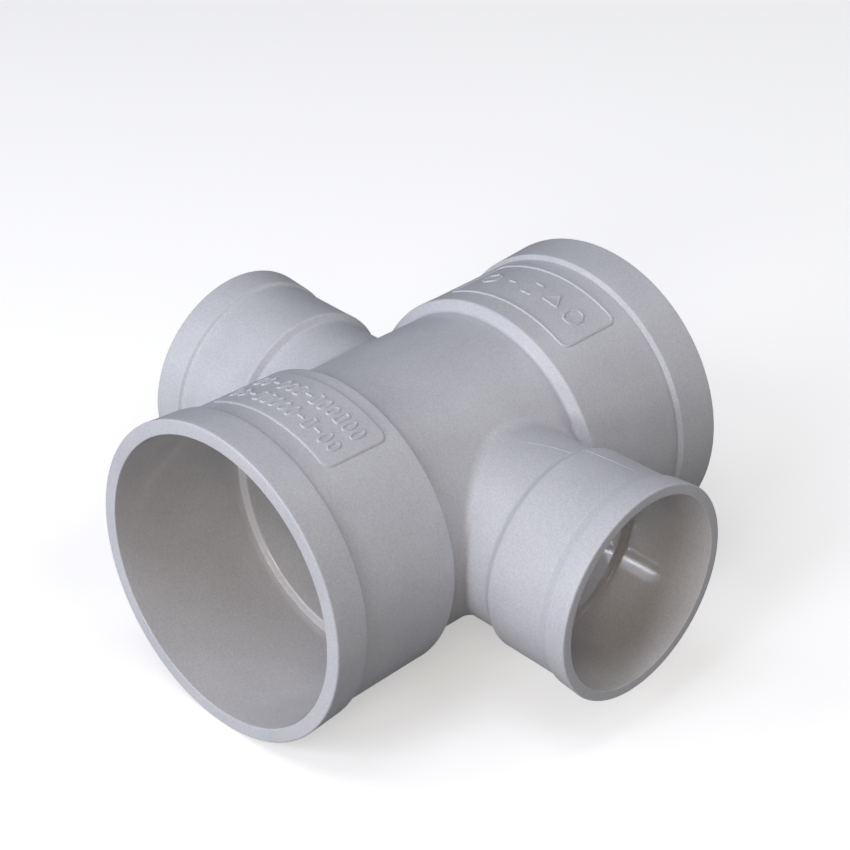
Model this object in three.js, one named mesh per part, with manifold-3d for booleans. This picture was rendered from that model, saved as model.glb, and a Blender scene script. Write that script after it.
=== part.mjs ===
// Reducing cross fitting for solvent-welded drain pipe: a 75 mm run crossed by two 50 mm branches.
// Millimetres. +Y runs along the big bore, +X along the branches, +Z is up. The origin lies on the
// run's axis, half way between its two mouths; the branches cross it a little behind the origin.
// The fitting is one moulding. It is modelled as its named regions, which meet face to face on flat
// sections, plus the raised label plate, label frame and relief marks on top of the run sockets.
import * as THREE from "three";
import { mergeVertices } from "three/addons/utils/BufferGeometryUtils.js";
import Module from "manifold-3d";

const wasm = await Module();
wasm.setup();

// ---- Driving dimensions ------------------------------------------------------------------------

const SIDES = 60; // flats round every turned surface
const RUN_HALF = 68; // run axis: origin to either mouth
const BRANCH_Y = 2.5; // the branches' axis lies this far behind the origin
const BRANCH_HALF = 72; // branch axis: run axis to either mouth

// Every mouth is the same scheme at two sizes: a plain socket whose bore ends at a square pipe stop,
// with a flared rim band outside its mouth. Depths are measured inwards from the mouth.
const RUN_SOCKET = {
  mouth: RUN_HALF,
  rimRadius: 41.5, // outside of the rim, at the mouth
  bandRadius: 40.8, // outside of the band, at its inner edge
  wallRadius: 39.4, // outside of the socket wall
  boreRadius: 37.5, // the pipe slides in here
  stopDepth: 40, // mouth to pipe stop
  rimRound: 0.5, // bevel on the rim's outer edge
  leadIn: 0.3, // bevel on the bore's edge
};
const BRANCH_SOCKET = {
  mouth: BRANCH_HALF,
  rimRadius: 28.5,
  bandRadius: 27.8,
  wallRadius: 27.1,
  boreRadius: 25.3,
  stopDepth: 25,
  rimRound: 0.4,
  leadIn: 0.3,
};
const FRONT_BAND = 10.3; // width of each rim band
const REAR_BAND = 12.3;
const BRANCH_BAND = 8;
const BAND_STEP = 0.8; // length of the step from a band down to its socket

// The barrel between the run sockets, and the necks between the barrel and the branch sockets.
const BARREL_RADIUS = 36.2;
const BARREL_BORE = 33.9;
const NECK_RADIUS = 24.9;
const NECK_BORE = 22.6;
const FRONT_SHOULDER = { foot: 26.2, edge: 27.6 }; // distance from the origin, along -Y
const REAR_SHOULDER = { foot: 22.9, edge: 24.1 }; // distance from the origin, along +Y
// Distances from the run axis. The left branch's shoulder starts nearer to it.
const NECK_SHOULDERS = {
  right: { foot: 45.2, edge: 46.8 },
  left: { foot: 42.4, edge: 43.6 },
};

// Flat sections where the regions meet.
const FRONT_SECTION = 28;
const REAR_SECTION = 28;
const NECK_SECTION = 39.5;
const BRANCH_SECTION = 49;

// Raised label areas, centred on the top of each run socket.
const LABEL_HALF_WIDTH = 20.2;
const LABEL_LENGTH = 20.3;
const LABEL_CORNER = 2.4;
const FRONT_LABEL_START = 31.5; // distance from the origin to the label's inner edge
const REAR_LABEL_START = 30;
const PLATE_HEIGHT = 0.4;
const FRAME_WIDTH = 0.8;
const RIDGE_HEIGHT = 0.35;
const STROKE = 0.65; // width of the lines in a relief mark
const SMALL_WIDTH = 2.15; // of a mark on the front plate, across the plate
const SMALL_HEIGHT = 5; // and along the run
const SMALL_PITCH = 2.75;
const SMALL_ROWS = [6.7, 14.4]; // distances from the plate's inner edge
const LARGE_HEIGHT = 6.4; // of a mark in the rear frame, along the run
const LARGE_PITCH = 7;

// ---- Solids and meshes -------------------------------------------------------------------------

// Closed geometry to a solid: shared vertices are merged, and only position is kept.
function solid(geometry) {
  const bare = new THREE.BufferGeometry();
  bare.setAttribute("position", geometry.getAttribute("position"));
  if (geometry.index) bare.setIndex(geometry.index);
  const merged = mergeVertices(bare, 1e-4);
  return new wasm.Manifold(
    new wasm.Mesh({
      numProp: 3,
      vertProperties: merged.getAttribute("position").array,
      triVerts: new Uint32Array(merged.index.array),
    }),
  );
}

// A solid back to geometry with flat faces.
function geometryOf(shape) {
  const mesh = shape.getMesh();
  const geometry = new THREE.BufferGeometry();
  geometry.setAttribute("position", new THREE.BufferAttribute(mesh.vertProperties, 3));
  geometry.setIndex(new THREE.BufferAttribute(mesh.triVerts, 1));
  const flat = geometry.toNonIndexed();
  flat.computeVertexNormals();
  return flat;
}

// A turned solid about +Y from [radius, distance along the axis] points, listed anticlockwise.
function turned(points) {
  const closed = [...points, points[0]];
  return new THREE.LatheGeometry(
    closed.map(([radius, along]) => new THREE.Vector2(radius, along)),
    SIDES,
  );
}

// A turned solid that reaches the axis at both ends.
function turnedCore(points) {
  const first = [0, points[0][1]];
  const last = [0, points[points.length - 1][1]];
  return new THREE.LatheGeometry(
    [first, ...points, last].map(([radius, along]) => new THREE.Vector2(radius, along)),
    SIDES,
  );
}

// The four ways an end can face: the local +Y axis, out of the mouth, turned to its own direction.
const FACING = {
  rear: new THREE.Matrix4(),
  front: new THREE.Matrix4().set(-1, 0, 0, 0, 0, -1, 0, 0, 0, 0, 1, 0, 0, 0, 0, 1),
  right: new THREE.Matrix4().set(0, 1, 0, 0, -1, 0, 0, BRANCH_Y, 0, 0, 1, 0, 0, 0, 0, 1),
  left: new THREE.Matrix4().set(0, -1, 0, 0, 1, 0, 0, BRANCH_Y, 0, 0, 1, 0, 0, 0, 0, 1),
};

const PVC = {
  body: { color: 0xc6c8cd, roughness: 0.5, metalness: 0 },
  socket: { color: 0xc6c8cd, roughness: 0.52, metalness: 0 },
  rim: { color: 0xcccdd2, roughness: 0.58, metalness: 0 },
  label: { color: 0xc9cbd0, roughness: 0.5, metalness: 0 },
};

const fitting = new THREE.Group();

// Adds one named region to the fitting.
function addPiece(name, geometry, finish, facing = "rear") {
  const placed = geometry.clone().applyMatrix4(FACING[facing]);
  const mesh = new THREE.Mesh(placed, new THREE.MeshStandardMaterial(PVC[finish]));
  mesh.name = name;
  fitting.add(mesh);
}

// ---- Regions of the moulding -------------------------------------------------------------------

// Where a band's step meets the socket wall.
function bandFoot(socket, bandWidth) {
  return socket.mouth - bandWidth - BAND_STEP;
}

// The thickened, slightly flared band round a mouth, with its flat rim face.
function rimBand(socket, bandWidth) {
  const foot = bandFoot(socket, bandWidth);
  const { mouth, rimRadius, bandRadius, wallRadius, boreRadius, rimRound, leadIn } = socket;
  return turned([
    [boreRadius, foot],
    [wallRadius, foot],
    [bandRadius, foot + BAND_STEP],
    [rimRadius, mouth - rimRound],
    [rimRadius - rimRound, mouth],
    [boreRadius + leadIn, mouth],
    [boreRadius, mouth - leadIn],
  ]);
}

// The plain socket wall between a flat section and the foot of its band.
function socketWall(socket, bandWidth, section) {
  const foot = bandFoot(socket, bandWidth);
  return turned([
    [socket.boreRadius, section],
    [socket.wallRadius, section],
    [socket.wallRadius, foot],
    [socket.boreRadius, foot],
  ]);
}

// The ring that steps up from a neck to a branch socket, with the pipe stop inside it.
function branchShoulder({ foot, edge }) {
  const stop = BRANCH_HALF - BRANCH_SOCKET.stopDepth;
  return turned([
    [NECK_BORE, NECK_SECTION],
    [NECK_RADIUS, NECK_SECTION],
    [NECK_RADIUS, foot],
    [BRANCH_SOCKET.wallRadius, edge],
    [BRANCH_SOCKET.wallRadius, BRANCH_SECTION],
    [BRANCH_SOCKET.boreRadius, BRANCH_SECTION],
    [BRANCH_SOCKET.boreRadius, stop],
    [NECK_BORE, stop],
  ]);
}

// A plain round bar along X through the branches' axis.
function barAlongX(radius, half) {
  return turnedCore([
    [radius, -half],
    [radius, half],
  ]).applyMatrix4(FACING.right);
}

// The barrel with both necks and the two shoulders where the run sockets start.
function crossBody() {
  const { wallRadius, boreRadius, stopDepth } = RUN_SOCKET;
  const stop = RUN_HALF - stopDepth;
  const past = 1; // the cutting tools run past the faces they open
  const outside = turnedCore([
    [wallRadius, -FRONT_SECTION],
    [wallRadius, -FRONT_SHOULDER.edge],
    [BARREL_RADIUS, -FRONT_SHOULDER.foot],
    [BARREL_RADIUS, REAR_SHOULDER.foot],
    [wallRadius, REAR_SHOULDER.edge],
    [wallRadius, REAR_SECTION],
  ]);
  const runBore = turnedCore([
    [boreRadius, -FRONT_SECTION - past],
    [boreRadius, -stop],
    [BARREL_BORE, -stop],
    [BARREL_BORE, stop],
    [boreRadius, stop],
    [boreRadius, REAR_SECTION + past],
  ]);
  const necks = barAlongX(NECK_RADIUS, NECK_SECTION);
  const neckBores = barAlongX(NECK_BORE, NECK_SECTION + past);
  return geometryOf(
    solid(outside).add(solid(necks)).subtract(solid(runBore)).subtract(solid(neckBores)),
  );
}

// ---- Label areas -------------------------------------------------------------------------------

// A rectangle with rounded corners, centred on x = 0 and starting at y = start.
function roundedRectangle(halfWidth, start, length, corner) {
  const end = start + length;
  const shape = new THREE.Shape();
  shape.moveTo(-halfWidth + corner, start);
  shape.lineTo(halfWidth - corner, start);
  shape.absarc(halfWidth - corner, start + corner, corner, -Math.PI / 2, 0);
  shape.lineTo(halfWidth, end - corner);
  shape.absarc(halfWidth - corner, end - corner, corner, 0, Math.PI / 2);
  shape.lineTo(-halfWidth + corner, end);
  shape.absarc(-halfWidth + corner, end - corner, corner, Math.PI / 2, Math.PI);
  shape.lineTo(-halfWidth, start + corner);
  shape.absarc(-halfWidth + corner, start + corner, corner, Math.PI, 1.5 * Math.PI);
  return shape;
}

// The same polygon with every side moved inwards by a distance.
function inset(points, distance) {
  const inward = (from, to) => new THREE.Vector2(from.y - to.y, to.x - from.x).normalize();
  return points.map((point, i) => {
    const first = inward(points.at(i - 1), point);
    const second = inward(point, points[(i + 1) % points.length]);
    const reach = distance / (1 + first.dot(second));
    return point.clone().addScaledVector(first.add(second), reach);
  });
}

// An outline drawn as a line. Its corners lie evenly round a circle, stretched to a width and height.
function polygonOutline(x, y, width, height, corners, turn) {
  const circle = Array.from({ length: corners }, (_, i) => {
    const angle = turn + (2 * Math.PI * i) / corners;
    return new THREE.Vector2(Math.cos(angle), Math.sin(angle));
  });
  const farthestX = Math.max(...circle.map((point) => Math.abs(point.x)));
  const farthestY = Math.max(...circle.map((point) => Math.abs(point.y)));
  const outer = circle.map((point) => {
    const across = (point.x / farthestX) * (width / 2);
    const along = (point.y / farthestY) * (height / 2);
    return new THREE.Vector2(x + across, y + along);
  });
  const shape = new THREE.Shape(outer);
  shape.holes.push(new THREE.Path(inset(outer, STROKE).reverse()));
  return shape;
}

// A solid bar lying across the label.
function bar(x, y, width, height) {
  return new THREE.Shape([
    new THREE.Vector2(x - width / 2, y - height / 2),
    new THREE.Vector2(x + width / 2, y - height / 2),
    new THREE.Vector2(x + width / 2, y + height / 2),
    new THREE.Vector2(x - width / 2, y + height / 2),
  ]);
}

// Whatever part of an upright prism over the shape lies between two radii of the run's axis.
function relief(shape, innerRadius, outerRadius, start, length) {
  const skin = turned([
    [innerRadius, start],
    [outerRadius, start],
    [outerRadius, start + length],
    [innerRadius, start + length],
  ]);
  const prism = new THREE.ExtrudeGeometry(shape, {
    depth: outerRadius,
    bevelEnabled: false,
    curveSegments: 5,
  });
  prism.translate(0, 0, innerRadius / 2);
  return solid(skin).intersect(solid(prism));
}

// A relief mark: a bar where it has no corners, otherwise a polygon the same left and right.
function relievedMark(x, y, width, height, corners) {
  if (corners === 0) return bar(x, y, width, STROKE);
  const turn = corners % 2 ? Math.PI / 2 : Math.PI / corners;
  return polygonOutline(x, y, width, height, corners, turn);
}

// Corners of each small mark, row by row; 0 stands for a bar.
const SMALL_MARKS = [
  [8, 8, 4, 6, 8, 4, 0, 4, 6, 8, 0, 8, 4],
  [6, 8, 0, 4, 0, 8, 6, 8, 4, 4, 0, 6, 8],
];

// The front label: a raised plate with two rows of small generic relief marks on it.
function frontLabelPlate() {
  const base = RUN_SOCKET.wallRadius;
  const top = base + PLATE_HEIGHT;
  const start = FRONT_LABEL_START;
  const outline = roundedRectangle(LABEL_HALF_WIDTH, start, LABEL_LENGTH, LABEL_CORNER);
  let plate = relief(outline, base, top, start, LABEL_LENGTH);
  const bite = 0.1; // the marks are rooted this far into the plate
  SMALL_MARKS.forEach((row, line) => {
    row.forEach((corners, i) => {
      const x = (i - (row.length - 1) / 2) * SMALL_PITCH;
      const mark = relievedMark(x, start + SMALL_ROWS[line], SMALL_WIDTH, SMALL_HEIGHT, corners);
      plate = plate.add(relief(mark, top - bite, top + RIDGE_HEIGHT, start, LABEL_LENGTH));
    });
  });
  return geometryOf(plate);
}

// The rear label: a raised line round an empty field.
function rearLabelFrame() {
  const base = RUN_SOCKET.wallRadius;
  const start = REAR_LABEL_START;
  const outline = roundedRectangle(LABEL_HALF_WIDTH, start, LABEL_LENGTH, LABEL_CORNER);
  const hole = roundedRectangle(
    LABEL_HALF_WIDTH - FRAME_WIDTH,
    start + FRAME_WIDTH,
    LABEL_LENGTH - 2 * FRAME_WIDTH,
    LABEL_CORNER - FRAME_WIDTH,
  );
  outline.holes.push(hole);
  return geometryOf(relief(outline, base, base + RIDGE_HEIGHT, start, LABEL_LENGTH));
}

// One larger generic relief mark inside the rear frame.
function rearMark(shape) {
  const base = RUN_SOCKET.wallRadius;
  return geometryOf(
    relief(shape, base, base + RIDGE_HEIGHT, REAR_LABEL_START, LABEL_LENGTH),
  );
}

// ---- Assembly ----------------------------------------------------------------------------------

addPiece("cross_body", crossBody(), "body");

const RUN_ENDS = [
  { name: "front", band: FRONT_BAND, section: FRONT_SECTION },
  { name: "rear", band: REAR_BAND, section: REAR_SECTION },
];
for (const { name, band, section } of RUN_ENDS) {
  addPiece(name + "_socket", socketWall(RUN_SOCKET, band, section), "socket", name);
  addPiece(name + "_rim_band", rimBand(RUN_SOCKET, band), "rim", name);
}

for (const name of ["right", "left"]) {
  addPiece(name + "_neck_shoulder", branchShoulder(NECK_SHOULDERS[name]), "body", name);
  addPiece(name + "_socket", socketWall(BRANCH_SOCKET, BRANCH_BAND, BRANCH_SECTION), "socket", name);
  addPiece(name + "_rim_band", rimBand(BRANCH_SOCKET, BRANCH_BAND), "rim", name);
}

addPiece("front_label_plate", frontLabelPlate(), "label", "front");
addPiece("rear_label_frame", rearLabelFrame(), "label");

const MARK_Y = REAR_LABEL_START + LABEL_LENGTH / 2;
const LARGE_MARKS = [
  { name: "hexagon", corners: 6, width: 4.8 },
  { name: "bar", corners: 0, width: 2.6 },
  { name: "rectangle", corners: 4, width: 3.6 },
  { name: "triangle", corners: 3, width: 5.6 },
  { name: "octagon", corners: 8, width: 4.8 },
];
LARGE_MARKS.forEach(({ name, corners, width }, i) => {
  const x = (i - (LARGE_MARKS.length - 1) / 2) * LARGE_PITCH;
  const shape = relievedMark(x, MARK_Y, width, LARGE_HEIGHT, corners);
  addPiece("rear_mark_" + name, rearMark(shape), "label");
});

export default fitting;
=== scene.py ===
"""Looks of a reducing cross fitting for drain pipe, moulded in light grey PVC.

The fitting is one moulding, drawn here as its regions: the cross-shaped body, the rings, sockets and
rim bands round its four mouths, and the raised relief on top. +Y runs along the big bore, +X along
the branches and +Z is up. Lengths are in metres.
"""
import math

import bmesh
import bpy
import numpy as np
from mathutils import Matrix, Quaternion, Vector


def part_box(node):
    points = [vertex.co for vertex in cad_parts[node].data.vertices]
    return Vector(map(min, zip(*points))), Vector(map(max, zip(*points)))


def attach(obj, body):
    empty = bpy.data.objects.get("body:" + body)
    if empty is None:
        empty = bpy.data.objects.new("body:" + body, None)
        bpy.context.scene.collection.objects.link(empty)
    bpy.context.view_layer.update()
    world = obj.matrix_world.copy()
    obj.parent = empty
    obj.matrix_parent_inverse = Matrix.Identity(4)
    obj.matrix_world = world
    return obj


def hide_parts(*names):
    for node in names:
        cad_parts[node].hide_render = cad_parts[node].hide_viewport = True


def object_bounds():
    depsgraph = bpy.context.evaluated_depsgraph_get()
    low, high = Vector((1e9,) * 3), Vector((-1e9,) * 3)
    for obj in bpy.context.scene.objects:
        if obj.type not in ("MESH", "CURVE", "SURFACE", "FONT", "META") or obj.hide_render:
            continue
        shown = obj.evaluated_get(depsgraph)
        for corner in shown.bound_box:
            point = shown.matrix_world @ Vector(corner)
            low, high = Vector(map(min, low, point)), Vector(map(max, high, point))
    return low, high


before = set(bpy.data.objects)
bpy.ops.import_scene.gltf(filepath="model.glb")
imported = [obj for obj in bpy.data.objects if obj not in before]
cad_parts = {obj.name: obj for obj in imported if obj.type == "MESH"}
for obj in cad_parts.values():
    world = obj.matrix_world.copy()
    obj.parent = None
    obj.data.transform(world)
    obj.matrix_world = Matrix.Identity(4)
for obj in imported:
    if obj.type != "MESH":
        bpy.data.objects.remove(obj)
cad_low, cad_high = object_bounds()

MM = 0.001


# ---- Sizes --------------------------------------------------------------------------------------

def lowest(node, axis):
    """A CAD node's lowest coordinate along an axis (0, 1 or 2)."""
    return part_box(node)[0][axis]


def highest(node, axis):
    """A CAD node's highest coordinate along an axis (0, 1 or 2)."""
    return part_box(node)[1][axis]


FLOOR_Z = cad_low.z
BRANCH_Y = (lowest("right_rim_band", 1) + highest("right_rim_band", 1)) / 2

# Distances along an axis, from the centre of the fitting outwards, and radii about that axis.
RUN = {
    "mouth": highest("rear_rim_band", 1),
    "rim": highest("rear_rim_band", 2),
    "wall_at_band": 39.6 * MM,
    "wall_at_root": 39.25 * MM,
    "band": 40.8 * MM,
    "bore_at_mouth": 37.7 * MM,
    "bore": 37.5 * MM,
    "stop": 28 * MM,
    "lip": 34.9 * MM,  # the passage at the stop, which narrows over lip_depth
    "lip_depth": 8 * MM,
    "passage": 33.9 * MM,
    "front_foot": -highest("front_rim_band", 1),
    "rear_foot": lowest("rear_rim_band", 1),
    "front_seam": 30 * MM,
    "rear_seam": 31.4 * MM,
}
BRANCH = {
    "mouth": highest("right_rim_band", 0),
    "rim": highest("right_rim_band", 2),
    "wall_at_band": 27.1 * MM,
    "wall_at_root": 26.9 * MM,
    "band": 27.9 * MM,
    "bore_at_mouth": 25.6 * MM,
    "bore": 25.3 * MM,
    "stop": 47 * MM,
    "passage": 22.6 * MM,
    "foot": lowest("right_rim_band", 0),
    "seam": lowest("right_socket", 0),
}
STEP_LEAD = 0.3 * MM  # straight wall in front of the step up to a rim band
BAND_STEPS = {  # length of that step, and the radius of its rounded edges
    "front": (0.8 * MM, 0.35 * MM),
    "rear": (0.8 * MM, 0.35 * MM),
    "right": (2.4 * MM, 1.6 * MM),
    "left": (0.7 * MM, 0.4 * MM),
}
RIM_ROUND = 0.5 * MM  # rounded outer edge of a rim face
MOUTH_ROUND = 0.25 * MM  # and its inner edge
BARREL = 36.2 * MM
NECK = 24.9 * MM
NECK_SEAM = 41 * MM  # flat section where a neck meets its shoulder ring
SHOULDER_ROUNDS = (1.0 * MM, 0.7 * MM)  # a run shoulder's foot and edge
RUN_STOP_ROUNDS = (0.2 * MM, 0.6 * MM)  # a pipe stop's corner at the bore, and its edge at the lip
BRANCH_STOP_ROUNDS = (0.7 * MM, 0.3 * MM)
PASSAGE_ROUND = 20 * MM  # where the tapered lead-in runs out into the passage
FRONT_SHOULDER = {"foot": 26.2 * MM, "edge": 27.6 * MM}
REAR_SHOULDER = {"foot": 22.9 * MM, "edge": 24.1 * MM}
NECK_SHOULDERS = {
    "right": {"foot": 44.5 * MM, "edge": 46.9 * MM, "rounds": (2.0 * MM, 1.2 * MM)},
    "left": {"foot": 42.4 * MM, "edge": 43.7 * MM, "rounds": (1.2 * MM, 0.9 * MM)},
}

OUTER_BLEND = 1.6 * MM  # radius of the fillet where a branch leaves the barrel, outside
UNDER_BLEND = 3.3 * MM  # the same fillet at the bottom of the branch
INNER_BLEND = 0.8 * MM  # and of the rounded edge inside
BLEND_MARGIN = 0.3 * MM  # the patch round a branch reaches this far past its fillet

# Raised relief on top of the run sockets. Starts are distances along the run.
LABEL_HALF_WIDTH = highest("front_label_plate", 0)
LABEL_LENGTH = 20.3 * MM
LABEL_CORNER = 2.4 * MM
FRONT_LABEL_START = -highest("front_label_plate", 1)
REAR_LABEL_START = lowest("rear_label_frame", 1)
PLATE_HEIGHT = 0.4 * MM
PLATE_EDGE = 0.5 * MM
FRAME_WIDTH = 0.8 * MM
FRAME_HEIGHT = 0.35 * MM
MARK_HEIGHT = 0.35 * MM
MARK_CORNER = 0.36 * MM
RELIEF_ROOT = 0.25 * MM
STROKE = 0.7 * MM
SMALL_WIDTH = 2.15 * MM
SMALL_HEIGHT = 5 * MM
SMALL_PITCH = 2.75 * MM
SMALL_ROWS = [6.7 * MM, 14.4 * MM]
SMALL_MARKS = [  # corners; 0 is a bar
    [8, 8, 4, 6, 8, 4, 0, 4, 6, 8, 0, 8, 4],
    [6, 8, 0, 4, 0, 8, 6, 8, 4, 4, 0, 6, 8],
]
LARGE_HEIGHT = 6.4 * MM
LARGE_PITCH = 7 * MM
LARGE_MARKS = [  # name, corners and width
    ("hexagon", 6, 4.8 * MM),
    ("bar", 0, 2.6 * MM),
    ("rectangle", 4, 3.6 * MM),
    ("triangle", 3, 5.6 * MM),
    ("octagon", 8, 4.8 * MM),
]

# The fine mould line on the right branch.
WITNESS_START, WITNESS_STOP = 31.5 * MM, 62.6 * MM
WITNESS_END, WITNESS_TURN = math.radians(17.5), math.radians(22.5)
WITNESS_FADE = 12 * MM
WITNESS_TAPER = 4 * MM
WITNESS_WIDTH = 0.7 * MM
WITNESS_HEIGHT = 0.08 * MM
WITNESS_ROOT = 0.1 * MM

# Counts of rows and columns, and spacings, of the grids.
AROUND = 192  # columns round every turned surface
QUARTER = AROUND // 4
HALF_BRANCH = 121  # columns over half of a branch, before those at the profile's turns are added
FINEST_ANGLE = math.pi / 1440  # they are rounded to this, so that the quarters' edges meet
APPROACH_ROWS = 2  # rows of a branch's patch before its fillet, over it, and along the neck
FILLET_ROWS = 13
STRAIGHT_ROWS = 8
LONGEST_STEP = 1.6 * MM  # longest row spacing along a straight stretch of a profile
LABEL_SPACING = 0.8 * MM  # along the outline of a label area
POLYGON_SPACING = 0.5 * MM
BAR_SPACING = 0.3 * MM
RIDGE_COLUMNS = 9  # over the half ellipse of a raised line
PAD_ROWS = 12  # from the middle of a raised pad to its edge
PAD_EDGE_ROWS = 7
WITNESS_ROWS = 90
WITNESS_COLUMNS = 7
WELD_DISTANCE = 0.002 * MM  # points of neighbouring patches closer than this are one
SHARP_ANGLE = math.radians(40)
LINING_SLACK = 0.15 * MM


# ---- Finishes -----------------------------------------------------------------------------------

def add_node(material, kind, inputs=(), **settings):
    """A shader node with its settings, and its sockets filled from (name, value or socket) pairs."""
    node = material.node_tree.nodes.new(kind)
    for name, value in settings.items():
        setattr(node, name, value)
    for name, value in inputs:
        if isinstance(value, bpy.types.NodeSocket):
            material.node_tree.links.new(value, node.inputs[name])
        else:
            node.inputs[name].default_value = value
    return node


def noise(material, place, per_metre, detail, stretch=(1, 1, 1)):
    """Smooth noise with so many lumps to the metre along each axis of the part."""
    mapping = add_node(material, "ShaderNodeMapping", [("Vector", place), ("Scale", stretch)])
    lumps = add_node(
        material, "ShaderNodeTexNoise",
        [("Vector", mapping.outputs[0]), ("Scale", per_metre), ("Detail", detail), ("Roughness", 0.55)],
    )
    return lumps.outputs["Fac"]


def between(material, share, low, high, from_low=0.3, from_high=0.7):
    """Carries noise from its usual range to a range of values."""
    node = add_node(
        material, "ShaderNodeMapRange",
        [
            ("Value", share),
            ("From Min", from_low),
            ("From Max", from_high),
            ("To Min", low),
            ("To Max", high),
        ],
    )
    return node.outputs[0]


# Lumps to the metre of each pattern in the plastic, and the depth of its relief.
CLOUDS, SPECKS, GLOSS_PATCHES = 45, 1900, 120
GRAIN, GRAIN_DEPTH = 2600, 0.05 * MM
WAVES, WAVE_DEPTH = 55, 0.1 * MM
LINING_ROUGHNESS = 0.10
# Painted shade: a warm, slightly darker tint multiplied onto the walls inside the bores, standing in for
# the shade and warm bounced light in them.
BORE_PAINTED_SHADE = (1, 0.97, 0.925, 1)


def moulded_pvc(name, light, dark, roughness):
    """PVC as it leaves a mould: cloudy and speckled in tone, with a fine grain and a slow waviness.

    The walls inside the bores, which the lining attribute marks, are smoother than the outside and get
    painted warm shade.
    """
    material = bpy.data.materials.new(name)
    material.use_nodes = True
    shader = material.node_tree.nodes["Principled BSDF"]
    connect = material.node_tree.links.new
    place = add_node(material, "ShaderNodeTexCoord").outputs["Object"]
    lining = add_node(material, "ShaderNodeAttribute", attribute_name="lining").outputs["Fac"]

    clouds = noise(material, place, CLOUDS, 4)
    specks = noise(material, place, SPECKS, 2)
    tone = add_node(
        material, "ShaderNodeMath",
        [(0, between(material, clouds, 0, 0.4)), (1, between(material, specks, 0, 0.6))],
        operation="ADD",
    )
    colour = add_node(material, "ShaderNodeMix", [("Factor", tone.outputs[0])], data_type="RGBA")
    colour.inputs["A"].default_value = (*dark, 1)
    colour.inputs["B"].default_value = (*light, 1)
    # Painted shade: the colour of the bore walls is multiplied by a warm, darker tint where the lining
    # attribute is 1.
    painted_bore_shade = add_node(
        material, "ShaderNodeMix",
        [("Factor", lining)], data_type="RGBA", blend_type="MULTIPLY",
    )
    connect(colour.outputs["Result"], painted_bore_shade.inputs["A"])
    painted_bore_shade.inputs["B"].default_value = BORE_PAINTED_SHADE
    connect(painted_bore_shade.outputs["Result"], shader.inputs["Base Color"])

    patches = noise(material, place, GLOSS_PATCHES, 3, stretch=(1, 0.4, 1))
    outside = between(material, patches, roughness - 0.05, roughness + 0.06)
    inside = between(material, patches, LINING_ROUGHNESS - 0.02, LINING_ROUGHNESS + 0.03)
    gloss = add_node(
        material, "ShaderNodeMix", [("Factor", lining), ("A", outside), ("B", inside)], data_type="FLOAT"
    )
    connect(gloss.outputs["Result"], shader.inputs["Roughness"])

    fine = add_node(
        material, "ShaderNodeBump",
        [
            ("Height", noise(material, place, GRAIN, 3)),
            ("Distance", GRAIN_DEPTH),
            ("Strength", between(material, lining, 1.0, 0.15, 0, 1)),
        ],
    )
    waves = add_node(
        material, "ShaderNodeBump",
        [
            ("Height", noise(material, place, WAVES, 1)),
            ("Distance", WAVE_DEPTH),
            ("Strength", 1.0),
            ("Normal", fine.outputs[0]),
        ],
    )
    connect(waves.outputs[0], shader.inputs["Normal"])
    shader.inputs["IOR"].default_value = 1.53
    return material


LIGHT_GREY, DARK_GREY = (0.67, 0.68, 0.72), (0.50, 0.51, 0.545)
TRIMMED_LIGHT, TRIMMED_DARK = (0.68, 0.69, 0.73), (0.51, 0.52, 0.555)
FINISHES = {
    "body": moulded_pvc("body_pvc", LIGHT_GREY, DARK_GREY, 0.42),
    "socket": moulded_pvc("socket_pvc", LIGHT_GREY, DARK_GREY, 0.42),
    "rim": moulded_pvc("rim_pvc", TRIMMED_LIGHT, TRIMMED_DARK, 0.46),
    "label": moulded_pvc("label_pvc", LIGHT_GREY, DARK_GREY, 0.42),
}


# ---- Profiles and grids -------------------------------------------------------------------------

def rounded(corners, radii):
    """An open polyline whose corners are turned into arcs of the given radii.

    An arc touches both edges of its corner at radius / tan(half angle) from the corner. Its points
    are the centre plus the start arm and end arm, weighted by sines of their share of the sweep.
    """
    corners = np.array(corners, float)
    stretches = [corners[:1]]
    for before, corner, after, radius in zip(corners, corners[1:], corners[2:], radii[1:-1]):
        if radius == 0:
            stretches.append(corner[None])
            continue
        back = (before - corner) / np.linalg.norm(before - corner)
        on = (after - corner) / np.linalg.norm(after - corner)
        half = np.arccos(np.clip(back @ on, -1, 1)) / 2
        middle = back + on
        centre = corner + middle / np.linalg.norm(middle) * radius / np.sin(half)
        start_arm = corner + back * radius / np.tan(half) - centre
        end_arm = corner + on * radius / np.tan(half) - centre
        sweep = np.pi - 2 * half
        share = np.linspace(0, 1, max(3, int(np.degrees(sweep) / 9) + 2))[:, None]
        weights = np.sin((1 - share) * sweep), np.sin(share * sweep)
        stretches.append(centre + (weights[0] * start_arm + weights[1] * end_arm) / np.sin(sweep))
    stretches.append(corners[-1:])
    return np.concatenate(stretches)


def refined(points, longest=LONGEST_STEP):
    """The same polyline with its long stretches divided evenly into steps no longer than longest."""
    lengths = np.linalg.norm(np.diff(points, axis=0), axis=1)
    along = np.concatenate([[0], np.cumsum(lengths)])
    counts = np.maximum(1, np.ceil(lengths / longest)).astype(int)
    fine = [np.linspace(a, b, n, endpoint=False) for a, b, n in zip(along, along[1:], counts)]
    fine = np.concatenate(fine + [along[-1:]])
    return np.stack([np.interp(fine, along, points[:, i]) for i in (0, 1)], axis=1)


def grid_faces(rows, columns, rows_close=False, columns_close=False):
    """Corner numbers of the four-sided faces of a grid of points, numbered row by row."""
    row = np.arange(rows if rows_close else rows - 1)[:, None]
    column = np.arange(columns if columns_close else columns - 1)[None, :]
    next_row = (row + 1) % rows
    next_column = (column + 1) % columns
    corners = [
        row * columns + column,
        row * columns + next_column,
        next_row * columns + next_column,
        next_row * columns + column,
    ]
    return np.stack(corners, axis=-1).reshape(-1, 4)


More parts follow.
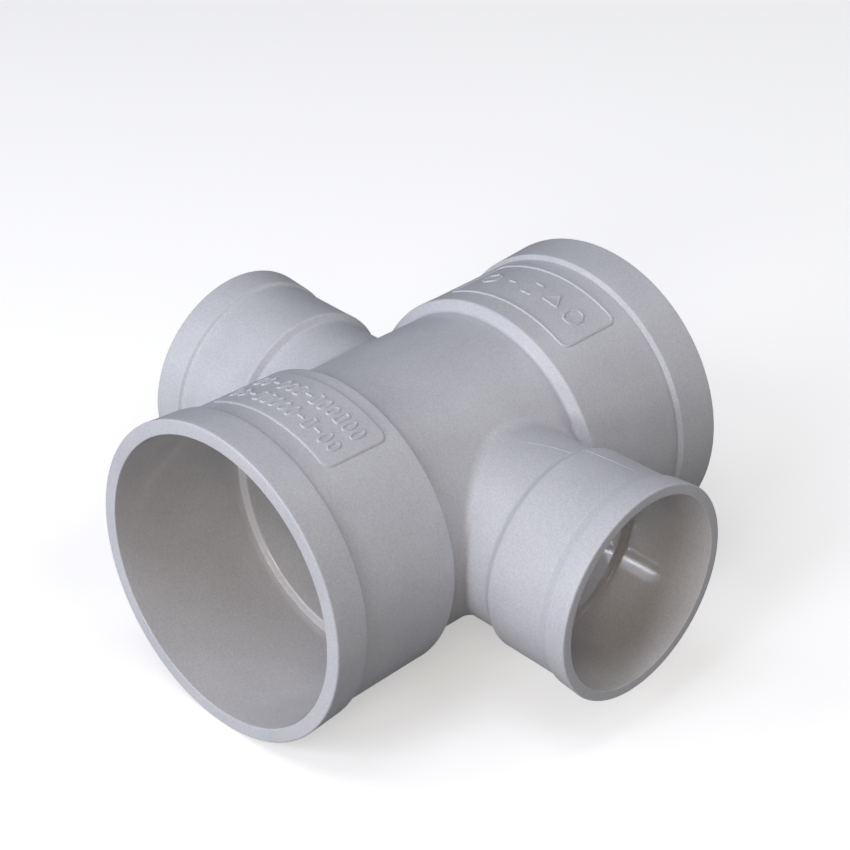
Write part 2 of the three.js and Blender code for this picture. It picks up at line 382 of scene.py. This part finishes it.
def make_piece(name, patches, nodes, slot):
    """One closed mesh from patches of (points, faces), joined where their edges meet."""
    starts = np.cumsum([0] + [len(points.reshape(-1, 3)) for points, _ in patches])
    points = np.concatenate([points.reshape(-1, 3) for points, _ in patches])
    faces = np.concatenate([faces + start for (_, faces), start in zip(patches, starts)])
    mesh = bpy.data.meshes.new(name)
    mesh.from_pydata(points.tolist(), [], faces.tolist())
    work = bmesh.new()
    work.from_mesh(mesh)
    bmesh.ops.remove_doubles(work, verts=work.verts, dist=WELD_DISTANCE)
    bmesh.ops.recalc_face_normals(work, faces=work.faces)
    work.to_mesh(mesh)
    work.free()
    mesh.shade_smooth()
    mesh.set_sharp_from_angle(angle=SHARP_ANGLE)
    mark_lining(mesh)
    mesh.materials.append(FINISHES[slot])
    piece = bpy.data.objects.new(name, mesh)
    bpy.context.collection.objects.link(piece)
    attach(piece, "root")
    if nodes:
        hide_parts(*nodes)
    return piece


def mark_lining(mesh):
    """Writes the lining attribute: 1 on points of the walls inside the bores, 0 outside.

    A point is inside where its distance from an axis is under that bore's radius: the branch
    passages and sockets, the barrel's passage, or the run sockets past the pipe stops.
    """
    points = np.empty(len(mesh.vertices) * 3)
    mesh.vertices.foreach_get("co", points)
    x, y, z = np.abs(points.reshape(-1, 3)).T
    y_signed = points.reshape(-1, 3)[:, 1]
    from_run = np.hypot(x, z)
    from_branch = np.hypot(y_signed - BRANCH_Y, z)
    inside = from_branch < BRANCH["passage"] + INNER_BLEND
    inside |= (from_branch < BRANCH["bore_at_mouth"] + LINING_SLACK) & (x > BRANCH["stop"] - LINING_SLACK)
    inside |= from_run < RUN["lip"] + INNER_BLEND
    inside |= (from_run < RUN["bore_at_mouth"] + LINING_SLACK) & (y > RUN["stop"] - LINING_SLACK)
    lining = mesh.attributes.new("lining", "FLOAT", "POINT")
    lining.data.foreach_set("value", inside.astype(float))


def facing(points, end):
    """Turns points of (across, along, up) so that along points out of the named mouth."""
    across, along, up = points[..., 0], points[..., 1], points[..., 2]
    turned = {
        "front": (-across, -along, up),
        "rear": (across, along, up),
        "right": (along, BRANCH_Y - across, up),
        "left": (-along, BRANCH_Y + across, up),
    }
    return np.stack(turned[end], axis=-1)


def turned_ring(name, profile, end, nodes, slot):
    """A closed profile of (radius, distance) carried round an axis: radius times cosine and sine."""
    angles = np.arange(AROUND) * 2 * np.pi / AROUND
    radius, along = profile[:, :1], profile[:, 1:]
    points = np.stack(
        [radius * np.cos(angles), along + 0 * angles, radius * np.sin(angles)], axis=-1
    )
    faces = grid_faces(len(profile), AROUND, rows_close=True, columns_close=True)
    return make_piece(name, [(facing(points, end), faces)], nodes, slot)


# ---- Rings round the mouths ---------------------------------------------------------------------

def closed_profile(outside, inside):
    """A ring's section: its outside, from the inner end to the mouth, then its inside, coming back."""
    return np.concatenate([refined(outside), refined(inside)])


def rim_band(end, sizes, foot):
    """The flared band and flat rim face round one mouth."""
    mouth = sizes["mouth"]
    step, step_round = BAND_STEPS[end]
    outside = rounded(
        [
            (sizes["wall_at_band"], foot),
            (sizes["wall_at_band"], foot + STEP_LEAD),
            (sizes["band"], foot + STEP_LEAD + step),
            (sizes["rim"], mouth),
            ((sizes["rim"] + sizes["bore_at_mouth"]) / 2, mouth),
        ],
        [0, step_round, step_round, RIM_ROUND, 0],
    )
    inside = rounded(
        [
            ((sizes["rim"] + sizes["bore_at_mouth"]) / 2, mouth),
            (sizes["bore_at_mouth"], mouth),
            (bore_radius(sizes, foot), foot),
        ],
        [0, MOUTH_ROUND, 0],
    )
    name = end + "_rim_band"
    return turned_ring(name, closed_profile(outside, inside[1:]), end, [name], "rim")


def bore_radius(sizes, distance):
    """The drafted bore: straight from its radius at the stop to its radius at the mouth."""
    return np.interp(
        distance, [sizes["stop"], sizes["mouth"]], [sizes["bore"], sizes["bore_at_mouth"]]
    )


def socket_wall(end, sizes, section, foot):
    """The drafted socket wall between its flat section and the foot of its band."""
    outside = np.array([(sizes["wall_at_root"], section), (sizes["wall_at_band"], foot)])
    inside = np.array([(bore_radius(sizes, foot), foot), (bore_radius(sizes, section), section)])
    name = end + "_socket"
    return turned_ring(name, closed_profile(outside, inside), end, [name], "socket")


def neck_shoulder(end):
    """The ring that steps up from neck to branch socket, with the pipe stop inside it."""
    shoulder = NECK_SHOULDERS[end]
    outside = rounded(
        [
            (NECK, NECK_SEAM),
            (NECK, shoulder["foot"]),
            (BRANCH["wall_at_root"], shoulder["edge"]),
            (BRANCH["wall_at_root"], BRANCH["seam"]),
        ],
        [0, *shoulder["rounds"], 0],
    )
    inside = rounded(
        [
            (bore_radius(BRANCH, BRANCH["seam"]), BRANCH["seam"]),
            (BRANCH["bore"], BRANCH["stop"]),
            (BRANCH["passage"], BRANCH["stop"]),
            (BRANCH["passage"], NECK_SEAM),
        ],
        [0, *BRANCH_STOP_ROUNDS, 0],
    )
    name = end + "_neck_shoulder"
    return turned_ring(name, closed_profile(outside, inside), end, [name], "body")


# ---- The cross-shaped body ----------------------------------------------------------------------

def barrel_outside():
    """(radius, y) along the body's outside, from its front section to its rear section."""
    wall = RUN["wall_at_root"]
    foot_round, edge_round = SHOULDER_ROUNDS
    return refined(rounded(
        [
            (wall, -RUN["front_seam"]),
            (wall, -FRONT_SHOULDER["edge"]),
            (BARREL, -FRONT_SHOULDER["foot"]),
            (BARREL, REAR_SHOULDER["foot"]),
            (wall, REAR_SHOULDER["edge"]),
            (wall, RUN["rear_seam"]),
        ],
        [0, edge_round, foot_round, foot_round, edge_round, 0],
    ))


def barrel_inside():
    """(radius, y) along the body's inside: a pipe stop at each end of a passage that tapers inwards."""
    bore, lip, passage, stop = RUN["bore"], RUN["lip"], RUN["passage"], RUN["stop"]
    narrow = stop - RUN["lip_depth"]
    corner_round, lip_round = RUN_STOP_ROUNDS
    return refined(rounded(
        [
            (bore, -RUN["front_seam"]),
            (bore, -stop),
            (lip, -stop),
            (passage, -narrow),
            (passage, narrow),
            (lip, stop),
            (bore, stop),
            (bore, RUN["rear_seam"]),
        ],
        [0, corner_round, lip_round, PASSAGE_ROUND, PASSAGE_ROUND, lip_round, corner_round, 0],
    ))


def branch_angles(profile, reach):
    """Angles round a branch from its rear (0) to its front (pi), closer where the profile turns."""
    even = np.linspace(0, np.pi, HALF_BRANCH)
    turns = (profile[:, 1] - BRANCH_Y) / reach
    turns = np.arccos(turns[np.abs(turns) < 1])
    return np.unique(np.round(np.concatenate([even, turns]) / FINEST_ANGLE)) * FINEST_ANGLE


def barrel_quarter(profile, angles, reach):
    """The upper right quarter of the barrel, cut away where the branch's patch begins.

    Each row lies at one y. Its points run from straight above the axis down to the side, or down to
    the height sqrt(reach^2 - (y - branch y)^2) where the row crosses the patch.
    """
    ahead = profile[profile[:, 1] < BRANCH_Y - reach]
    behind = profile[profile[:, 1] > BRANCH_Y + reach]
    y_patch = BRANCH_Y + reach * np.cos(angles[::-1])
    radius_patch = np.interp(y_patch, profile[:, 1], profile[:, 0])
    radius = np.concatenate([ahead[:, 0], radius_patch, behind[:, 0]])[:, None]
    y = np.concatenate([ahead[:, 1], y_patch, behind[:, 1]])[:, None]
    height = np.concatenate([0 * ahead[:, 0], reach * np.sin(angles[::-1]), 0 * behind[:, 0]])
    lowest_angle = np.arcsin(np.clip(height[:, None] / radius, 0, 1))
    angle = np.pi / 2 + (lowest_angle - np.pi / 2) * np.linspace(0, 1, QUARTER + 1)
    points = np.stack([radius * np.cos(angle), y + 0 * angle, radius * np.sin(angle)], axis=-1)
    return points, grid_faces(len(radius), QUARTER + 1)


def branch_quarter(profile, angles, reach, neck, blend):
    """Half of one branch, from the edge of its patch on the barrel to its flat section.

    At angle t round the branch and distance d from its axis, y = branch y + d cos t and z = d sin t.
    x is sqrt((barrel radius at y + lift)^2 - z^2). Over the fillet d = neck + blend (1 - cos s) and
    lift = blend (1 - sin s), with s from a quarter turn down to 0; then x runs straight out. The
    blend is one radius, or one for each angle.
    """
    approach = np.linspace(0, 1, APPROACH_ROWS, endpoint=False)[:, None]
    turn = np.linspace(np.pi / 2, 0, FILLET_ROWS)[:, None]
    straight = np.linspace(0, 1, STRAIGHT_ROWS + 1)[1:, None]
    blend = blend + 0 * angles
    distance = np.concatenate([
        reach + (neck + blend - reach) * approach,
        neck + blend * (1 - np.cos(turn)),
        neck + 0 * blend * straight,
    ])
    lift = np.concatenate([
        0 * blend * approach,
        blend * (1 - np.sin(turn)),
        blend + 0 * straight,
    ])
    out = np.concatenate([0 * approach, 0 * turn, straight])
    y = BRANCH_Y + distance * np.cos(angles)
    z = distance * np.sin(angles)
    radius = np.interp(y, profile[:, 1], profile[:, 0]) + lift
    x = np.sqrt(radius ** 2 - z ** 2)
    x = x + out * (NECK_SEAM - x)
    return np.stack([x, y, z], axis=-1), grid_faces(*x.shape)


def strip_between(first, second):
    """A band of faces between two rows of points of the same length."""
    return np.stack([first, second]), grid_faces(2, len(first))


def cross_body():
    """The body as four quarters, each with an outer skin, an inner skin and end faces.

    Left and right mirror each other. So do top and bottom, but for the fillets under the branches,
    which grow from OUTER_BLEND at the sides to UNDER_BLEND at the bottom with the angle's sine squared.
    """
    outside, inside = barrel_outside(), barrel_inside()
    outer_reach = NECK + UNDER_BLEND + BLEND_MARGIN
    inner_reach = BRANCH["passage"] + INNER_BLEND + BLEND_MARGIN
    angles = branch_angles(outside, outer_reach)
    shell = barrel_quarter(outside, angles, outer_reach)
    lining = barrel_quarter(inside, angles, inner_reach)
    branch_lining = branch_quarter(inside, angles, inner_reach, BRANCH["passage"], INNER_BLEND)
    patches = []
    for up, extra in [(1, 0), (-1, UNDER_BLEND - OUTER_BLEND)]:
        blend = OUTER_BLEND + extra * np.sin(angles) ** 2
        branch = branch_quarter(outside, angles, outer_reach, NECK, blend)
        quarter = [
            shell,
            lining,
            branch,
            branch_lining,
            strip_between(shell[0][0], lining[0][0]),
            strip_between(shell[0][-1], lining[0][-1]),
            strip_between(branch[0][-1], branch_lining[0][-1]),
        ]
        for right in (1, -1):
            mirror = np.array([right, 1, up])
            patches += [(points * mirror, faces) for points, faces in quarter]
    return make_piece("cross_body", patches, ["cross_body"], "body")


# ---- Raised relief ------------------------------------------------------------------------------

def on_run_socket(end, across, distance, height):
    """Puts points that lie across from the middle, at a distance along the run, on a socket's top.

    The wall's radius runs straight from its root to the foot of its band, the height is added to it,
    and up is the square root of that radius squared minus across squared.
    """
    seam, foot = RUN[end + "_seam"], RUN[end + "_foot"]
    wall = np.interp(distance, [seam, foot], [RUN["wall_at_root"], RUN["wall_at_band"]])
    points = np.stack([across, distance, np.sqrt((wall + height) ** 2 - across ** 2)], axis=-1)
    return facing(points, end)


def rectangle_outline(half_width, half_length, corner, spacing):
    """Points round a rectangle with rounded corners, centred on the origin."""
    w, h = half_width, half_length
    corners = [(0, -h), (w, -h), (w, h), (-w, h), (-w, -h), (0, -h)]
    return refined(rounded(corners, [0, corner, corner, corner, corner, 0]), spacing)[:-1]


def polygon_outline(width, height, corners):
    """Points round a polygon with rounded corners, centred on the origin, the same left and right.

    Its corners lie evenly round a circle that is stretched to the width and the height.
    """
    turn = np.pi / 2 if corners % 2 else np.pi / corners
    angle = turn + np.arange(corners) * 2 * np.pi / corners
    points = np.stack([np.cos(angle), np.sin(angle)], axis=1)
    points = points / np.abs(points).max(axis=0) * np.array([width, height]) / 2
    start = (points[-1:] + points[:1]) / 2
    loop = np.concatenate([start, points, start])
    radii = [0] + [MARK_CORNER] * corners + [0]
    return refined(rounded(loop, radii), POLYGON_SPACING)[:-1]


def raised_line(end, outline, middle, width, height, base=0.0):
    """A ridge that follows a closed outline. Its section is half an ellipse on a buried root."""
    tangent = np.roll(outline, -1, axis=0) - np.roll(outline, 1, axis=0)
    tangent /= np.linalg.norm(tangent, axis=1)[:, None]
    sideways = np.stack([tangent[:, 1], -tangent[:, 0]], axis=1)
    turn = np.linspace(0, np.pi, RIDGE_COLUMNS)
    offset = np.concatenate([width / 2 * np.cos(turn), [-width / 2, width / 2]])
    rise = np.concatenate([height * np.sin(turn), [-RELIEF_ROOT, -RELIEF_ROOT]])
    place = outline[:, None] + sideways[:, None] * offset[None, :, None] + np.array(middle)
    points = on_run_socket(end, place[..., 0], place[..., 1], base + rise)
    return points, grid_faces(len(outline), len(offset), rows_close=True, columns_close=True)


def raised_pad(end, outline, middle, height, edge, base=0.0):
    """A low pad inside an outline: flat on top, with a rounded edge on a buried root.

    Rings run out from the middle: scaled copies of the outline, shrunk by the edge's width, then a
    quarter ellipse across the edge, then the root, and back to the middle under the surface.
    """
    size = np.abs(outline).max(axis=0)
    inner = outline * (1 - edge / size)
    grow = np.linspace(0, 1, PAD_ROWS)[:, None, None] ** 0.8
    turn = np.linspace(0, np.pi / 2, PAD_EDGE_ROWS)[1:, None, None]
    over_edge = inner + (outline - inner) * np.sin(turn)
    under = np.stack([outline, 0 * outline])
    place = np.concatenate([inner * grow, over_edge, under]) + np.array(middle)
    rise = np.concatenate([
        np.full(PAD_ROWS, height), height * np.cos(turn[:, 0, 0]), np.full(2, -RELIEF_ROOT)
    ])[:, None]
    points = on_run_socket(end, place[..., 0], place[..., 1], base + rise)
    return points, grid_faces(len(place), len(outline), columns_close=True)


def relieved_mark(end, place, width, height, corners, base=0.0):
    """One relief mark: a bar where it has no corners, otherwise the outline of a polygon."""
    if corners:
        outline = polygon_outline(width - STROKE, height - STROKE, corners)
        return raised_line(end, outline, place, STROKE, MARK_HEIGHT, base)
    outline = rectangle_outline(width / 2, STROKE / 2, STROKE / 2.2, BAR_SPACING)
    return raised_pad(end, outline, place, MARK_HEIGHT, STROKE / 3, base)


def front_label():
    """The front label: a raised plate, and two rows of small marks on top of it."""
    middle = (0, FRONT_LABEL_START + LABEL_LENGTH / 2)
    outline = rectangle_outline(LABEL_HALF_WIDTH, LABEL_LENGTH / 2, LABEL_CORNER, LABEL_SPACING)
    plate = raised_pad("front", outline, middle, PLATE_HEIGHT, PLATE_EDGE)
    make_piece("front_label_plate", [plate], ["front_label_plate"], "label")
    marks = []
    for row, distance in zip(SMALL_MARKS, SMALL_ROWS):
        for i, corners in enumerate(row):
            place = ((i - (len(row) - 1) / 2) * SMALL_PITCH, FRONT_LABEL_START + distance)
            marks.append(
                relieved_mark("front", place, SMALL_WIDTH, SMALL_HEIGHT, corners, PLATE_HEIGHT)
            )
    make_piece("front_label_marks", marks, ["front_label_plate"], "label")


def rear_label():
    """The rear label: a raised line round the field, and five larger marks in a row."""
    middle = REAR_LABEL_START + LABEL_LENGTH / 2
    inset = FRAME_WIDTH / 2
    outline = rectangle_outline(
        LABEL_HALF_WIDTH - inset, LABEL_LENGTH / 2 - inset, LABEL_CORNER - inset, LABEL_SPACING
    )
    ridge = raised_line("rear", outline, (0, middle), FRAME_WIDTH, FRAME_HEIGHT)
    make_piece("rear_label_frame", [ridge], ["rear_label_frame"], "label")
    for i, (name, corners, width) in enumerate(LARGE_MARKS):
        place = ((i - (len(LARGE_MARKS) - 1) / 2) * LARGE_PITCH, middle)
        mark = relieved_mark("rear", place, width, LARGE_HEIGHT, corners)
        make_piece("rear_mark_" + name, [mark], ["rear_mark_" + name], "label")


def witness_line():
    """The fine wavering line left on top of the right branch by the mould.

    At distance x along the branch its angle from straight up is WITNESS_END - WITNESS_TURN times
    exp(-(x - start) / WITNESS_FADE). Its section is half an ellipse that thins out to both ends.
    """
    x = np.linspace(WITNESS_START, WITNESS_STOP, WITNESS_ROWS)[:, None]
    angle = WITNESS_END - WITNESS_TURN * np.exp(-(x - WITNESS_START) / WITNESS_FADE)
    shoulder = NECK_SHOULDERS["right"]
    wall = np.interp(
        x,
        [shoulder["foot"], shoulder["edge"], BRANCH["foot"]],
        [NECK, BRANCH["wall_at_root"], BRANCH["wall_at_band"]],
    )
    taper = np.clip(np.minimum(x - WITNESS_START, WITNESS_STOP - x) / WITNESS_TAPER, 0, 1) ** 0.5
    turn = np.linspace(0, np.pi, WITNESS_COLUMNS)
    offset = np.concatenate([WITNESS_WIDTH / 2 * np.cos(turn), [-WITNESS_WIDTH / 2, WITNESS_WIDTH / 2]])
    rise = np.concatenate([WITNESS_HEIGHT * np.sin(turn), [-WITNESS_ROOT, -WITNESS_ROOT]])
    radius = wall + rise * taper
    angle = angle + offset * taper / wall
    points = np.stack(
        [x + 0 * radius, BRANCH_Y + radius * np.sin(angle), radius * np.cos(angle)], axis=-1
    )
    faces = grid_faces(*angle.shape, columns_close=True)
    make_piece("right_witness_line", [(points, faces)], [], "body")


# ---- Build --------------------------------------------------------------------------------------

cross_body()
for run_end in ("front", "rear"):
    foot = RUN[run_end + "_foot"]
    socket_wall(run_end, RUN, RUN[run_end + "_seam"], foot)
    rim_band(run_end, RUN, foot)
for branch_end in ("right", "left"):
    neck_shoulder(branch_end)
    socket_wall(branch_end, BRANCH, BRANCH["seam"], BRANCH["foot"])
    rim_band(branch_end, BRANCH, BRANCH["foot"])
front_label()
rear_label()
witness_line()


# ---- Camera, floor and light --------------------------------------------------------------------

CAMERA_ANGLES = (43.435, 31.689, 1.891)  # azimuth, elevation and roll, in degrees
CAMERA_AIM = Vector((-16.28, 18.88, 0)) * MM
CAMERA_DISTANCE = 601.8 * MM
CAMERA_LENS, CAMERA_SENSOR = 96.806, 36
LIGHT_DISTANCE = 1.2
FLOOR_HALF = 3.0
FLOOR_SEEN, FLOOR_GLOW, FLOOR_THROWN = 0.9, 0.42, 0.4
COOL, NEUTRAL, WARM = (0.92, 0.96, 1.10), (1, 1, 1), (1.20, 0.98, 0.70)


def direction(azimuth, elevation):
    """The unit vector to a place seen at an azimuth, from -Y towards +X, and an elevation."""
    azimuth, elevation = math.radians(azimuth), math.radians(elevation)
    return Vector((
        math.sin(azimuth) * math.cos(elevation),
        -math.cos(azimuth) * math.cos(elevation),
        math.sin(elevation),
    ))


def aim_camera():
    """A long lens that looks down on the aim point from its azimuth, elevation and distance."""
    azimuth, elevation, roll = CAMERA_ANGLES
    back = direction(azimuth, elevation)
    camera = bpy.data.objects.new("camera", bpy.data.cameras.new("camera"))
    camera.data.sensor_width = CAMERA_SENSOR
    camera.data.lens = CAMERA_LENS
    camera.data.clip_start = 0.01
    camera.location = CAMERA_AIM + back * CAMERA_DISTANCE
    camera.rotation_mode = "QUATERNION"
    facing_fitting = (-back).to_track_quat("-Z", "Y")
    camera.rotation_quaternion = facing_fitting @ Quaternion((0, 0, 1), math.radians(roll))
    bpy.context.collection.objects.link(camera)
    bpy.context.scene.camera = camera


aim_camera()


def floor():
    """A wide, plain, pale floor. What the eye sees is lighter than what it throws back up."""
    half = FLOOR_HALF
    corners = [(-half, -half), (half, -half), (half, half), (-half, half)]
    mesh = bpy.data.meshes.new("floor")
    mesh.from_pydata([(x, y, FLOOR_Z) for x, y in corners], [], [(0, 1, 2, 3)])
    plane = bpy.data.objects.new("floor", mesh)
    bpy.context.collection.objects.link(plane)
    material = bpy.data.materials.new("floor")
    material.use_nodes = True
    nodes, connect = material.node_tree.nodes, material.node_tree.links.new
    nodes.remove(nodes["Principled BSDF"])
    seen = add_node(material, "ShaderNodeBsdfDiffuse", [("Color", (*[FLOOR_SEEN] * 3, 1))])
    glow = add_node(material, "ShaderNodeEmission", [("Color", (1, 1, 1, 1)), ("Strength", FLOOR_GLOW)])
    lit = add_node(material, "ShaderNodeAddShader")
    connect(seen.outputs[0], lit.inputs[0])
    connect(glow.outputs[0], lit.inputs[1])
    thrown = add_node(material, "ShaderNodeBsdfDiffuse", [("Color", (*[FLOOR_THROWN] * 3, 1))])
    choice = add_node(material, "ShaderNodeMixShader")
    connect(add_node(material, "ShaderNodeLightPath").outputs["Is Camera Ray"], choice.inputs[0])
    connect(thrown.outputs[0], choice.inputs[1])
    connect(lit.outputs[0], choice.inputs[2])
    connect(choice.outputs[0], nodes["Material Output"].inputs["Surface"])
    mesh.materials.append(material)


floor()


def soft_light(name, azimuth, elevation, width, height, power, colour):
    """An oval soft light that faces the fitting. Sizes are in metres and power in watts."""
    back = direction(azimuth, elevation)
    lamp = bpy.data.objects.new(name, bpy.data.lights.new(name, "AREA"))
    lamp.data.shape = "ELLIPSE"
    lamp.data.size = width
    lamp.data.size_y = height
    lamp.data.energy = power
    lamp.data.color = colour
    lamp.location = back * LIGHT_DISTANCE
    lamp.rotation_mode = "QUATERNION"
    lamp.rotation_quaternion = (-back).to_track_quat("-Z", "Y")
    bpy.context.collection.objects.link(lamp)


# The window and the pane are thin, and show as streaks on the glossy walls of the bores.
soft_light("key", -19, 20, 0.45, 0.45, 1.7, COOL)
soft_light("window", -34, 15, 0.40, 0.06, 0.8, COOL)
soft_light("pane", -34, 4, 0.30, 0.05, 0.4, COOL)
soft_light("low_front", 10, 12, 0.35, 0.25, 3.2, NEUTRAL)
soft_light("front", 6, 36, 0.55, 0.55, 3.3, COOL)
soft_light("right", 40, 35, 0.45, 0.45, 2.0, WARM)
soft_light("top", 0, 72, 0.50, 0.50, 2.0, COOL)
soft_light("left", -34, 50, 0.45, 0.45, 1.5, COOL)
soft_light("side", 90, 50, 0.45, 0.45, 1.0, COOL)
soft_light("low_back", 150, 20, 0.45, 0.45, 1.3, NEUTRAL)
soft_light("back", 162, 50, 0.50, 0.50, 1.9, NEUTRAL)

world = bpy.data.worlds.new("studio")
world.use_nodes = True
world.node_tree.nodes["Background"].inputs["Color"].default_value = (1, 1, 1, 1)
world.node_tree.nodes["Background"].inputs["Strength"].default_value = 0.02
bpy.context.scene.world = world
bpy.context.scene.view_settings.view_transform = "Standard"
